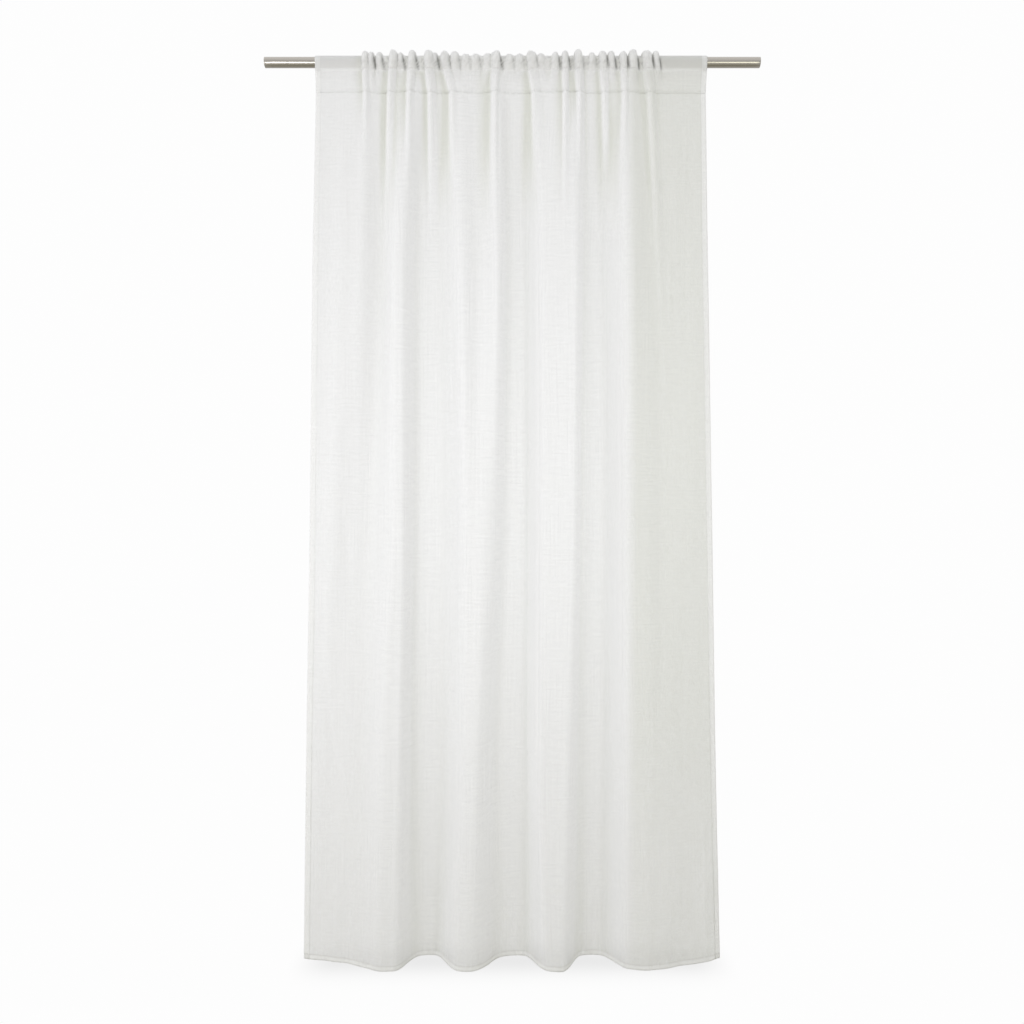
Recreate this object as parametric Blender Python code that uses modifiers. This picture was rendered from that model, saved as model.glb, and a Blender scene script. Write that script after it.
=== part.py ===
"""Sheer voile curtain gathered on a plain rod.

One panel of cloth is turned over at its top and sewn down as a pocket, and a steel tube runs
through the pocket. Metres, +Z up, +X along the rod, the curtain's front faces -Y, and the origin is
on the rod's axis at the middle of its length.
"""

import math

import bmesh
import bpy
import numpy as np

MM = 0.001

ROD_LENGTH = 1.360
ROD_RADIUS = 0.014
ROD_WALL = 0.0012
ROD_SIDES = 48

CLOTH_THICKNESS = 0.0012
POCKET_RADIUS = 0.0176  # from the rod's axis to the middle of the cloth that lies over the rod
SEAM_Z = -0.082  # the stitch line that closes the pocket
HEM_Z = -2.480

# Columns of the cloth's grid are closer together where the cloth is gathered.
FLAT_SHARE = 0.088  # of the cloth's width, at each side
FLAT_COLUMNS = 5
GATHERED_COLUMNS = 94

# Heights of the rows between the pocket's seam and the hem, and of those on each side of the pocket.
PANEL_ROWS = (-0.150, -0.280, -0.500, -0.800, -1.150, -1.520, -1.880, -2.200)
POCKET_ROWS = (-0.055, -0.028)
# Degrees from the front (0) over the top (90) to the back (180) of the rod.
OVER_ROD = (-12, 20, 55, 90, 125, 160, 192)

# The lines along which the panel's folds bend, in millimetres. Each row is one line from the seam to
# the hem: where it stands across the curtain, then how far forward of the rod it is, at five levels.
LEVELS = (SEAM_Z, -0.560, -1.250, -1.900, HEM_Z)
FOLD_LINES = (
    # name            across: seam  chest  waist  knee   hem   forward: seam chest waist knee hem
    ("left edge",         (-540,  -550,  -558,  -571,  -581),  (0, -3, -6, -18, -32)),
    ("left flat",         (-403,  -425,  -483,  -510,  -529),  (2, 8, 6, -8, -20)),
    ("left valley",       (-356,  -362,  -392,  -425,  -440),  (-6, -22, -14, -8, 0)),
    ("first crest in",    (-293,  -318,  -320,  -346,  -350),  (5, 28, 36, 39, 39)),
    ("first crest out",   (-271,  -291,  -292,  -302,  -318),  (6, 29, 38, 39, 37)),
    ("second valley in",  (-238,  -265,  -268,  -274,  -262),  (-6, -34, -38, -41, -46)),
    ("second valley out", (-183,  -204,  -200,  -202,  -215),  (-6, -34, -38, -43, -50)),
    ("second crest in",   (-153,  -139,  -122,  -125,  -150),  (4, 28, 38, 37, 36)),
    ("second dip",        (-95,    -95,   -88,   -95,  -112),  (-5, 8, 36, 39, 39)),
    ("second crest out",  (-34,    -34,   -50,   -84,  -100),  (6, 35, 24, 31, 37)),
    ("third valley in",   (-15,    -12,   -12,   -30,   -25),  (-6, -35, -41, -42, -44)),
    ("third valley out",  (32,      34,    36,    36,    32),  (-6, -36, -42, -44, -48)),
    ("third crest in",    (84,      84,    80,    76,    97),  (3, 30, 36, 37, 40)),
    ("third crest out",   (172,    179,   174,   152,   135),  (3, 35, 43, 41, 42)),
    ("fourth valley in",  (204,    201,   197,   197,   195),  (-5, -36, -42, -45, -51)),
    ("fourth valley out", (240,    247,   254,   254,   252),  (-5, -35, -40, -43, -48)),
    ("fourth crest in",   (310,    310,   312,   318,   312),  (5, 34, 38, 33, 26)),
    ("fourth crest out",  (325,    322,   326,   346,   362),  (5, 33, 37, 34, 31)),
    ("right valley",      (361,    386,   430,   470,   484),  (-5, -9, 0, 3, 3)),
    ("right flat",        (430,    452,   500,   520,   528),  (-5, -16, -13, -12, -10)),
    ("right edge",        (533,    544,   555,   565,   579),  (-6, -26, -26, -30, -34)),
)

# The loops into which the rod gathers the cloth, in millimetres: where each stands on the rod, at the
# seam and where it dies out, how far it rises, its reach to its left and right, and how far below the
# rod it dies out.
GATHERS = (
    # rod, seam,  end, rise, left, right, down
    (-403, -402, -404, 12.0,  9, 10,  260),
    (-386, -386, -390, 10.0,  8,  8,  110),
    (-364, -366, -366,  9.0,  9,  9,   70),
    (-328, -338, -352, 15.0,  9, 15,  680),
    (-306, -306, -306,  8.0,  8,  8,   45),
    (-274, -282, -284, 14.0, 11, 11,  420),
    (-231, -226, -222, 14.0, 11, 16,  640),
    (-212, -204, -204,  8.0,  8,  8,   45),
    (-187, -168, -164, 12.0, 10, 14,  520),
    (-158, -150, -146, 11.0, 12, 12,   60),
    (-128, -126, -124,  4.5, 10, 10,   50),
    (-100, -100, -100,  5.0, 10, 10,   45),
    (-67,   -70,  -70,  6.0, 12, 12,   90),
    (-40,   -46,  -50, 13.0, 19,  8,  620),
    (-8,     -8,   -8,  4.5, 10, 10,   45),
    (20,     20,   20,  5.0, 10, 10,   50),
    (47,     58,   66, 12.5,  8, 20,  520),
    (78,     80,   84,  6.0, 10, 10,   90),
    (118,   116,  116,  9.5, 10,  9,   70),
    (144,   145,  143, 13.0,  9, 10,  560),
    (180,   186,  191, 16.0, 12, 12,  560),
    (218,   218,  218,  8.0,  9,  9,   50),
    (246,   252,  262, 12.0, 10, 13,  480),
    (271,   272,  272, 12.0, 11,  9,   70),
    (304,   309,  298, 11.0, 11, 10,  420),
    (331,   330,  330, 16.0, 14, 11,   90),
    (367,   380,  440, 13.0, 14, 16, 1150),
    (393,   402,  412, 12.0, 10,  9,   90),
)

ROUNDING = 0.009  # over which each bend of a fold is softened
LOOP_FULLNESS = 2.4  # how broad a loop's crown is on the rod
LOOP_SHOULDER = 0.62  # how steep its sides are there
LOOP_NECK = 0.110  # below the rod, over which a loop loosens into a soft fold
LOOP_FLARE = 0.25  # how much further it then reaches to its right
FOLDS_START_Z = -0.010  # below here the panel's folds begin

FINE = 1600  # steps across the curtain along which the cloth's true width is added up


def smooth_curve(at, knots, values):
    """Read a smooth curve that passes through its knots without overshooting them."""
    knots = np.asarray(knots, dtype=float)
    values = np.asarray(values, dtype=float)
    step = np.diff(knots)
    rise = np.diff(values) / step
    slope = np.zeros(len(knots))
    slope[0] = rise[0]
    slope[-1] = rise[-1]
    for k in range(1, len(knots) - 1):
        if rise[k - 1] * rise[k] > 0:
            slope[k] = 2 * rise[k - 1] * rise[k] / (rise[k - 1] + rise[k])
    k = np.clip(np.searchsorted(knots, at) - 1, 0, len(knots) - 2)
    u = np.clip((at - knots[k]) / step[k], 0, 1)
    start = values[k] + u * step[k] * slope[k] * (1 - u) ** 2
    end_pull = u * u * (u - 1) * step[k] * slope[k + 1]
    return start + u * u * (3 - 2 * u) * (values[k + 1] - values[k]) + end_pull


def ease(u):
    """0 to 1 with a soft start and a soft end."""
    u = np.clip(u, 0, 1)
    return u * u * (3 - 2 * u)


def at_level(z, values):
    """One fold line's value, in metres, at height z."""
    heights = [-level for level in LEVELS]
    return float(smooth_curve(min(max(-z, heights[0]), heights[-1]), heights, values)) * MM


def folds(x, z):
    """How far forward the panel's folds carry the cloth at x, at height z."""
    across = [at_level(z, line[1]) for line in FOLD_LINES]
    forward = [at_level(z, line[2]) for line in FOLD_LINES]
    left = smooth_curve(x - ROUNDING, across, forward)
    right = smooth_curve(x + ROUNDING, across, forward)
    return (left + 2 * smooth_curve(x, across, forward) + right) / 4


def gathers(x, z):
    """How far the loops on the rod carry the cloth out at x, at height z."""
    total = np.zeros_like(x)
    slack = float(ease(-z / LOOP_NECK))
    for rod, seam, end, rise, left, right, down in GATHERS:
        fall = max(-z, 0.0) / (down * MM)
        if fall >= 1:
            continue
        middle = float(np.interp(-z, (0, -SEAM_Z, max(down * MM, -SEAM_Z + MM)), (rod, seam, end))) * MM
        height = rise * MM * (1 - fall) ** 2 * (1 + 2 * fall)
        side = np.where(x < middle, left, right * (1 + LOOP_FLARE * slack)) * MM * (1 + 0.5 * fall)
        u = np.clip(np.abs(x - middle) / side, 0, 1)
        plump = (1 - u ** LOOP_FULLNESS) ** LOOP_SHOULDER
        soft = 0.5 + 0.5 * np.cos(math.pi * u)
        total = np.maximum(total, height * (plump * (1 - slack) + soft * slack))
    return total


def columns():
    """Places across the flat cloth, from 0 at its left edge to 1 at its right edge."""
    left = np.linspace(0, FLAT_SHARE, FLAT_COLUMNS, endpoint=False)
    middle = np.linspace(FLAT_SHARE, 1 - FLAT_SHARE, GATHERED_COLUMNS, endpoint=False)
    right = np.linspace(1 - FLAT_SHARE, 1, FLAT_COLUMNS + 1)
    return np.concatenate((left, middle, right))


def fold_share(z):
    """The folds grow from nothing on the rod to their full depth at the seam."""
    return float(ease((z - FOLDS_START_Z) / (SEAM_Z - FOLDS_START_Z)))


def across(places, z):
    """Where the cloth's columns stand at height z, each with its own width of cloth."""
    x = np.linspace(at_level(z, FOLD_LINES[0][1]), at_level(z, FOLD_LINES[-1][1]), FINE)
    out = folds(x, z) * fold_share(z) + gathers(x, z)
    length = np.concatenate(([0], np.cumsum(np.hypot(np.diff(x), np.diff(out)))))
    return np.interp(places * length[-1], length, x)


def panel_row(places, z):
    """A row of the single cloth below the pocket's seam, or on the seam."""
    x = across(places, z)
    y = -folds(x, z) - gathers(x, z)
    return np.column_stack((x, y, np.full_like(x, z)))


def pocket_half_depth(z):
    """How far the pocket's front and back stand from its middle, between the rod and the seam."""
    return POCKET_RADIUS * (SEAM_Z - z) / SEAM_Z


def front_row(places, z):
    """A row of the pocket's front, between the seam and the rod."""
    x = across(places, z)
    y = -pocket_half_depth(z) - gathers(x, z) - folds(x, z) * fold_share(z)
    return np.column_stack((x, y, np.full_like(x, z)))


def back_row(places, z):
    """A row of the pocket's back, which takes the front's folds as it nears the seam."""
    x = across(places, z)
    with_front = z / SEAM_Z
    loops = (1 - 2 * with_front) * gathers(x, z)
    y = pocket_half_depth(z) + loops - folds(x, z) * fold_share(z) * with_front
    return np.column_stack((x, y, np.full_like(x, z)))


def rod_row(places, degrees):
    """A row over the rod, where each loop stands out from the rod's axis."""
    x = across(places, 0.0)
    radius = POCKET_RADIUS + gathers(x, 0.0)
    angle = math.radians(degrees)
    return np.column_stack((x, -radius * math.cos(angle), radius * math.sin(angle)))


def cloth_rows():
    """The panel's rows, from its hem up the front, over the rod and down the back to the seam."""
    places = columns()
    rows = [panel_row(places, z) for z in (HEM_Z, *reversed(PANEL_ROWS), SEAM_Z)]
    rows += [front_row(places, z) for z in POCKET_ROWS]
    rows += [rod_row(places, degrees) for degrees in OVER_ROD]
    rows += [back_row(places, z) for z in reversed(POCKET_ROWS)]
    rows.append(panel_row(places, SEAM_Z))
    return rows


def material(name, colour, roughness, metallic):
    made = bpy.data.materials.new(name)
    made.use_nodes = True
    shader = made.node_tree.nodes["Principled BSDF"]
    shader.inputs["Base Color"].default_value = (*colour, 1)
    shader.inputs["Roughness"].default_value = roughness
    shader.inputs["Metallic"].default_value = metallic
    made.diffuse_color = (*colour, 1)
    return made


def make_panel(collection):
    """The panel: a flat grid bent along its rows, sewn to itself at the seam, then given thickness."""
    rows = cloth_rows()
    row_steps = len(rows) - 1
    column_steps = len(rows[0]) - 1
    bm = bmesh.new()
    bmesh.ops.create_grid(bm, x_segments=column_steps, y_segments=row_steps, size=0.5)
    for vert in bm.verts:
        column = round((vert.co.x + 0.5) * column_steps)
        row = round((vert.co.y + 0.5) * row_steps)
        vert.co = rows[row][column]
    bmesh.ops.remove_doubles(bm, verts=bm.verts, dist=1e-6)
    mesh = bpy.data.meshes.new("voile_panel")
    bm.to_mesh(mesh)
    bm.free()
    panel = bpy.data.objects.new("voile_panel", mesh)
    collection.objects.link(panel)
    mesh.shade_smooth()
    mesh.materials.append(material("voile", (0.84, 0.85, 0.81), 0.9, 0.0))
    thickness = panel.modifiers.new("cloth", "SOLIDIFY")
    thickness.solidify_mode = "NON_MANIFOLD"
    thickness.nonmanifold_thickness_mode = "EVEN"
    thickness.thickness = CLOTH_THICKNESS
    thickness.offset = 0
    return panel


def make_rod(collection):
    """The rod: a tube, open at its plain cut ends."""
    bpy.ops.mesh.primitive_cylinder_add(
        vertices=ROD_SIDES,
        radius=ROD_RADIUS,
        depth=ROD_LENGTH,
        end_fill_type="NOTHING",
        rotation=(0, math.radians(90), 0),
    )
    rod = bpy.context.object
    rod.name = "rod"
    rod.data.name = "rod"
    for owner in list(rod.users_collection):
        owner.objects.unlink(rod)
    collection.objects.link(rod)
    rod.data.shade_smooth()
    rod.data.set_sharp_from_angle(angle=math.radians(40))
    rod.data.materials.append(material("brushed_steel", (0.36, 0.33, 0.29), 0.35, 1.0))
    wall = rod.modifiers.new("wall", "SOLIDIFY")
    wall.thickness = ROD_WALL
    wall.offset = -1
    return rod


def main():
    for old in list(bpy.data.objects):
        bpy.data.objects.remove(old, do_unlink=True)
    curtain = bpy.data.collections.new("voile_curtain_on_rod")
    bpy.context.scene.collection.children.link(curtain)
    make_rod(curtain)
    make_panel(curtain)


main()
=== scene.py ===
"""The looks of a sheer voile curtain gathered on a plain rod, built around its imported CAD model."""

import math
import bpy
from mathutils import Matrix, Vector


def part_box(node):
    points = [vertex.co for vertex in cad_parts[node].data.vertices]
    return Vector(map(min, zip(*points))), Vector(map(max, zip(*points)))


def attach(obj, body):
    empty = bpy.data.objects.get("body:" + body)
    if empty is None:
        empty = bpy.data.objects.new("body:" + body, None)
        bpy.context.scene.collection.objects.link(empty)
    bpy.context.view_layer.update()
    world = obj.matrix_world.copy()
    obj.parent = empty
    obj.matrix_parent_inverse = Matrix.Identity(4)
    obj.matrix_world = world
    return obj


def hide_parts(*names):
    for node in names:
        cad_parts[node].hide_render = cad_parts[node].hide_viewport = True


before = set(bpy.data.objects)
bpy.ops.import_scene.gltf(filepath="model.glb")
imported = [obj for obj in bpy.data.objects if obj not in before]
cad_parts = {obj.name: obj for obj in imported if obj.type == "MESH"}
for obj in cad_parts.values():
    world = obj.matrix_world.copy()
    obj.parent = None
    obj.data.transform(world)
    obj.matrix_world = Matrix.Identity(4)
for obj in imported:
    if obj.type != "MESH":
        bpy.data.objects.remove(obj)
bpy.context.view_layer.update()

from types import SimpleNamespace

import bpy
import numpy as np

ROD_LOW, ROD_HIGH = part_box("rod")

MM = 0.001

# ---- Sizes of the curtain, as its CAD model has them, in metres.

ROD_RADIUS = (ROD_HIGH[1] - ROD_LOW[1]) / 2
ROD_WALL = 0.0012
POCKET_RADIUS = ROD_RADIUS + 0.0028  # from the rod's axis to the cloth that lies over the rod
CLOTH_OFF_ROD = 0.0007  # the nearest that crumpled cloth comes to the rod
SEAM_Z = -0.082  # the stitch line that closes the pocket
HEM_Z = -2.480

FINISHED_WIDTH = 1.450  # of the flat panel between its hemmed sides
SIDE_HEM = 0.0165
BOTTOM_HEM = 0.0155
TURN_UNDER = 0.0145  # the raw edge turned in under each hem

# The lines along which the panel's folds bend, in millimetres. Each row is one line from the seam to
# the hem: where it stands across the curtain, then how far forward of the rod it is, at five levels.
LEVELS = (SEAM_Z, -0.560, -1.250, -1.900, HEM_Z)
FOLD_LINES = (
    # name            across: seam  chest  waist  knee   hem   forward: seam chest waist knee hem
    ("left edge",         (-540,  -550,  -558,  -571,  -581),  (0, -3, -6, -18, -32)),
    ("left flat",         (-403,  -425,  -483,  -510,  -529),  (2, 8, 6, -8, -20)),
    ("left valley",       (-356,  -362,  -392,  -425,  -440),  (-6, -22, -14, -8, 0)),
    ("first crest in",    (-293,  -318,  -320,  -346,  -350),  (5, 28, 36, 39, 39)),
    ("first crest out",   (-271,  -291,  -292,  -302,  -318),  (6, 29, 38, 39, 37)),
    ("second valley in",  (-238,  -265,  -268,  -274,  -262),  (-6, -34, -38, -41, -46)),
    ("second valley out", (-183,  -204,  -200,  -202,  -215),  (-6, -34, -38, -43, -50)),
    ("second crest in",   (-153,  -139,  -122,  -125,  -150),  (4, 28, 38, 37, 36)),
    ("second dip",        (-95,    -95,   -88,   -95,  -112),  (-5, 8, 36, 39, 39)),
    ("second crest out",  (-34,    -34,   -50,   -84,  -100),  (6, 35, 24, 31, 37)),
    ("third valley in",   (-15,    -12,   -12,   -30,   -25),  (-6, -35, -41, -42, -44)),
    ("third valley out",  (32,      34,    36,    36,    32),  (-6, -36, -42, -44, -48)),
    ("third crest in",    (84,      84,    80,    76,    97),  (3, 30, 36, 37, 40)),
    ("third crest out",   (172,    179,   174,   152,   135),  (3, 35, 43, 41, 42)),
    ("fourth valley in",  (204,    201,   197,   197,   195),  (-5, -36, -42, -45, -51)),
    ("fourth valley out", (240,    247,   254,   254,   252),  (-5, -35, -40, -43, -48)),
    ("fourth crest in",   (310,    310,   312,   318,   312),  (5, 34, 38, 33, 26)),
    ("fourth crest out",  (325,    322,   326,   346,   362),  (5, 33, 37, 34, 31)),
    ("right valley",      (361,    386,   430,   470,   484),  (-5, -9, 0, 3, 3)),
    ("right flat",        (430,    452,   500,   520,   528),  (-5, -16, -13, -12, -10)),
    ("right edge",        (533,    544,   555,   565,   579),  (-6, -26, -26, -30, -34)),
)

ROUNDING = 0.009  # over which each bend of a fold is softened

# The loops into which the rod gathers the cloth, in millimetres: where each stands on the rod, at the
# seam and where it dies out, how far it rises, its reach to its left and right, and how far below the
# rod it dies out. The last number says how deep the cloth is tucked in where the loop ends on its right.
GATHERS = (
    # rod, seam,  end, rise, left, right, down, tuck
    (-403, -402, -404, 12.0,  9, 10,  260, 0.2),
    (-386, -386, -390, 10.0,  8,  8,  110, 1.0),
    (-364, -366, -366,  9.0,  9,  9,   70, 0.8),
    (-328, -338, -352, 15.0,  9, 15,  680, 0.3),
    (-306, -306, -306,  8.0,  8,  8,   45, 1.0),
    (-274, -282, -284, 14.0, 11, 11,  420, 1.0),
    (-231, -226, -222, 14.0, 11, 16,  640, 0.3),
    (-212, -204, -204,  8.0,  8,  8,   45, 1.0),
    (-187, -168, -164, 12.0, 10, 14,  520, 0.3),
    (-158, -150, -146, 11.0, 12, 12,   60, 0.3),
    (-128, -126, -124,  4.5, 10, 10,   50, 0.2),
    (-100, -100, -100,  5.0, 10, 10,   45, 0.4),
    (-67,   -70,  -70,  6.0, 12, 12,   90, 0.0),
    (-40,   -46,  -50, 13.0, 19,  8,  620, 1.0),
    (-8,     -8,   -8,  4.5, 10, 10,   45, 0.3),
    (20,     20,   20,  5.0, 10, 10,   50, 0.2),
    (47,     58,   66, 12.5,  8, 20,  520, 0.3),
    (78,     80,   84,  6.0, 10, 10,   90, 0.0),
    (118,   116,  116,  9.5, 10,  9,   70, 0.8),
    (144,   145,  143, 13.0,  9, 10,  560, 0.9),
    (180,   186,  191, 16.0, 12, 12,  560, 0.3),
    (218,   218,  218,  8.0,  9,  9,   50, 0.3),
    (246,   252,  262, 12.0, 10, 13,  480, 0.7),
    (271,   272,  272, 12.0, 11,  9,   70, 1.0),
    (304,   309,  298, 11.0, 11, 10,  420, 0.8),
    (331,   330,  330, 16.0, 14, 11,   90, 1.0),
    (367,   380,  440, 13.0, 14, 16, 1150, 0.8),
    (393,   402,  412, 12.0, 10,  9,   90, 0.9),
)

LOOP_FULLNESS = 2.4  # how broad a loop's crown is on the rod
LOOP_SHOULDER = 0.62  # how steep its sides are there
LOOP_NECK = 0.110  # below the rod, over which a loop loosens into a soft fold
LOOP_FLARE = 0.25  # how much further it then reaches to its right
LOOP_SPREAD = 0.5  # how much wider it is where it dies out
FOLDS_START_Z = -0.010  # below here the panel's folds begin

# Creases pressed into the hanging panel, in millimetres: from and to, depth and half width. A
# negative depth is a ridge.
CREASES = (
    # x0,    z0,    x1,    z1, depth, half width
    (-466, -1230, -447, -1430,  2.4,   9),
    (-533, -1560, -489, -1965,  3.0,   8),
    (565,  -2085,  500, -2262,  5.0,  16),
    (577,  -2190,  520, -2330, -3.0,  18),
    (-130,  -70,  -118,  -118,  2.0,   8),
    (405,    -40,  440,   -84,  2.0,   8),
)


# ---- The cloth's form.

def smooth_curve(at, knots, values):
    """Read a smooth curve that passes through its knots without overshooting them."""
    knots = np.asarray(knots, dtype=float)
    values = np.asarray(values, dtype=float)
    step = np.diff(knots)
    rise = np.diff(values) / step
    slope = np.zeros(len(knots))
    slope[0] = rise[0]
    slope[-1] = rise[-1]
    for k in range(1, len(knots) - 1):
        if rise[k - 1] * rise[k] > 0:
            slope[k] = 2 * rise[k - 1] * rise[k] / (rise[k - 1] + rise[k])
    k = np.clip(np.searchsorted(knots, at) - 1, 0, len(knots) - 2)
    u = np.clip((at - knots[k]) / step[k], 0, 1)
    start = values[k] + u * step[k] * slope[k] * (1 - u) ** 2
    end_pull = u * u * (u - 1) * step[k] * slope[k + 1]
    return start + u * u * (3 - 2 * u) * (values[k + 1] - values[k]) + end_pull


def ease(u):
    """0 to 1 with a soft start and a soft end."""
    u = np.clip(u, 0, 1)
    return u * u * (3 - 2 * u)


def at_level(z, values):
    """One fold line's value, in metres, at height z."""
    heights = [-level for level in LEVELS]
    return float(smooth_curve(min(max(-z, heights[0]), heights[-1]), heights, values)) * MM


def folds(x, z):
    """How far forward the panel's folds carry the cloth at x, at height z."""
    across = [at_level(z, line[1]) for line in FOLD_LINES]
    forward = [at_level(z, line[2]) for line in FOLD_LINES]
    left, middle, right = (smooth_curve(x + step, across, forward) for step in (-ROUNDING, 0, ROUNDING))
    return (left + 2 * middle + right) / 4


def gathers(x, z):
    """How far the loops on the rod carry the cloth out at x, at height z."""
    total = np.zeros_like(x)
    for rod, seam, end, rise, left, right, down, _ in GATHERS:
        fall = max(-z, 0.0) / (down * MM)
        if fall >= 1:
            continue
        middle = float(np.interp(-z, (0, -SEAM_Z, max(down * MM, -SEAM_Z + MM)), (rod, seam, end))) * MM
        height = rise * MM * (1 - fall) ** 2 * (1 + 2 * fall)
        slack = float(ease(-z / LOOP_NECK))
        reach = np.where(x < middle, left, right * (1 + LOOP_FLARE * slack))
        u = np.clip(np.abs(x - middle) / (reach * MM * (1 + LOOP_SPREAD * fall)), 0, 1)
        plump = (1 - u ** LOOP_FULLNESS) ** LOOP_SHOULDER
        soft = 0.5 + 0.5 * np.cos(math.pi * u)
        total = np.maximum(total, height * (plump * (1 - slack) + soft * slack))
    return total


def fold_share(z):
    """The folds grow from nothing on the rod to their full depth at the seam."""
    return float(ease((z - FOLDS_START_Z) / (SEAM_Z - FOLDS_START_Z)))


def form(x, z):
    """How far forward the folds and the loops together carry the cloth at x, at height z."""
    return folds(x, z) * fold_share(z) + gathers(x, z)


TUCK_HALF_WIDTH = 0.0029
TUCK_ASIDE = 0.0005  # from the end of its loop
TUCK_TOP = 0.016
TUCK_FOOT = -0.034
TUCK_ENDS = (3.0, 2.6)  # how soon a tuck is at its deepest, from its foot and from its top
TUCK_LEAN = 0.20  # how far to the right the tucks run as they go down
TUCK_DEPTH = 1.6 * MM


def tucks(x, z):
    """0 to 1: how deep in a tuck, beside one of the loops, the cloth lies at the front of the rod."""
    total = np.zeros_like(x)
    if not TUCK_FOOT < z < TUCK_TOP:
        return total
    up = (z - TUCK_FOOT) / (TUCK_TOP - TUCK_FOOT)
    share = float(ease(up * TUCK_ENDS[0]) * ease((1 - up) * TUCK_ENDS[1]))
    for rod, _, _, _, _, right, _, tuck in GATHERS:
        middle = (rod + right) * MM + TUCK_ASIDE - z * TUCK_LEAN
        total = np.maximum(total, tuck * share * np.exp(-(((x - middle) / TUCK_HALF_WIDTH) ** 2)))
    return total


RNG_ROD = np.random.default_rng(11)
CRUMPLES = [
    # waves across the rod and round it, per metre, then phase and height
    (
        RNG_ROD.uniform(60, 150),
        RNG_ROD.uniform(-45, 45),
        RNG_ROD.uniform(0, 2 * math.pi),
        RNG_ROD.uniform(0.10, 0.34) * MM,
    )
    for _ in range(12)
]
CRUMPLED = (-0.415, 0.400)  # the stretch of the rod on which the cloth is crumpled
CRUMPLED_EDGE = 0.020  # over which its crumples grow
CRUMPLED_REACH = 0.035  # up and down from the rod's middle


def crumples(x, z):
    """The crumpled cloth between the loops, on the gathered part of the rod, with its tucks."""
    total = np.zeros_like(x)
    for waves_across, waves_down, phase, height in CRUMPLES:
        total += height * np.sin(2 * math.pi * (waves_across * x + waves_down * z) + phase)
    inside = ease((x - CRUMPLED[0]) / CRUMPLED_EDGE) * ease((CRUMPLED[1] - x) / CRUMPLED_EDGE)
    return total * inside * math.exp(-((z / CRUMPLED_REACH) ** 2)) - TUCK_DEPTH * tucks(x, z)


FINE = 4000  # steps across the curtain along which the cloth's true width is added up


def across(places, z):
    """Where the cloth's columns stand at height z, each with its own width of cloth."""
    x = np.linspace(at_level(z, FOLD_LINES[0][1]), at_level(z, FOLD_LINES[-1][1]), FINE)
    length = np.concatenate(([0], np.cumsum(np.hypot(np.diff(x), np.diff(form(x, z))))))
    return np.interp(places * length[-1], length, x)


RNG = np.random.default_rng(7)
SWELLS = [
    # waves across the cloth, waves down it, phase, height: the loose unevenness of hung cloth
    (RNG.uniform(5, 22), RNG.uniform(-2.0, 2.0), RNG.uniform(0, 2 * math.pi), RNG.uniform(0.2, 0.8) * MM)
    for _ in range(14)
]
SWELL_START = 0.30  # below the rod, over which the swells grow


def swell(places, z):
    """Slow unevenness of the hanging cloth, which dies out on the rod."""
    total = np.zeros_like(places)
    for waves_across, waves_down, phase, height in SWELLS:
        total += height * np.sin(2 * math.pi * (waves_across * places + waves_down * z / HEM_Z) + phase)
    return total * float(ease(-z / SWELL_START))


# Puckers along the stitching: their height, how far they reach to each side of it, how long each is,
# how far that length wanders, and over what length of stitching it does so.
SEAM_PUCKERS = (0.30 * MM, 0.012, 0.0115, 1.8, 0.061)
BOTTOM_PUCKERS = (0.55 * MM, 0.012, 0.0210, 2.1, 0.083)
SIDE_PUCKERS = (0.70 * MM, 0.011, 0.0300, 2.0, 0.130)
SIDE_AT_TOP = 0.4  # the share of the side hems' puckers that is there at the top
SIDE_IN_FULL = 1.9  # the depth below the rod at which all of it is


def pucker(kind, aside, along, phase=0.0):
    """One seam's puckers, so far aside from its stitching and so far along it."""
    height, reach, length, wander, wander_length = kind
    slow = wander * np.sin(along / wander_length * 2 * math.pi + phase)
    return height * np.exp(-((aside / reach) ** 2)) * np.sin(along / length * 2 * math.pi + phase + slow)


def puckers(places, z):
    """Small puckers where the stitching draws the cloth in, along the seam and the hems."""
    left = places * FINISHED_WIDTH
    right = (1 - places) * FINISHED_WIDTH
    total = pucker(SEAM_PUCKERS, z - SEAM_Z, left) + pucker(BOTTOM_PUCKERS, z - HEM_Z - BOTTOM_HEM, left)
    grown = SIDE_AT_TOP + (1 - SIDE_AT_TOP) * float(ease(-z / SIDE_IN_FULL))
    for side, phase in ((left, 0.0), (right, 1.7)):
        total = total + grown * pucker(SIDE_PUCKERS, side - SIDE_HEM, z, phase)
    return total


CREASE_ENDS = 0.35  # the share of a crease's length over which each end of it fades


def creases(x, z):
    """Soft troughs and ridges left by folding and handling."""
    total = np.zeros_like(x)
    for x0, z0, x1, z1, depth, half in CREASES:
        start = np.array((x0, z0)) * MM
        run = np.array((x1, z1)) * MM - start
        length = float(np.hypot(*run))
        along = ((x - start[0]) * run[0] + (z - start[1]) * run[1]) / length
        aside = ((x - start[0]) * run[1] - (z - start[1]) * run[0]) / length
        fade = ease(along / (CREASE_ENDS * length)) * ease((length - along) / (CREASE_ENDS * length))
        total -= depth * MM * fade * np.exp(-((aside / (half * MM)) ** 2))
    return total


PINCH = 0.35 * MM
PINCH_REACH = 0.004
POCKET_GAP = 1.1 * MM  # between the pocket's two layers at the seam, where the back one is turned under


def seam_pinch(z):
    """How far the stitching pulls the two layers of the pocket together."""
    return PINCH * math.exp(-((z - SEAM_Z) / PINCH_REACH) ** 2)


def pocket_half_depth(z):
    """How far the pocket's front and back stand from its middle, between the rod and the seam."""
    return POCKET_RADIUS * (SEAM_Z - z) / SEAM_Z


def outward_of(x, y, towards):
    """Unit normals, in plan, of a row of cloth: towards is -1 for the front and 1 for the back."""
    slope = np.gradient(y, x)
    size = np.hypot(slope, 1)
    return np.column_stack((-towards * slope / size, towards / size, np.zeros_like(x)))


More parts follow.
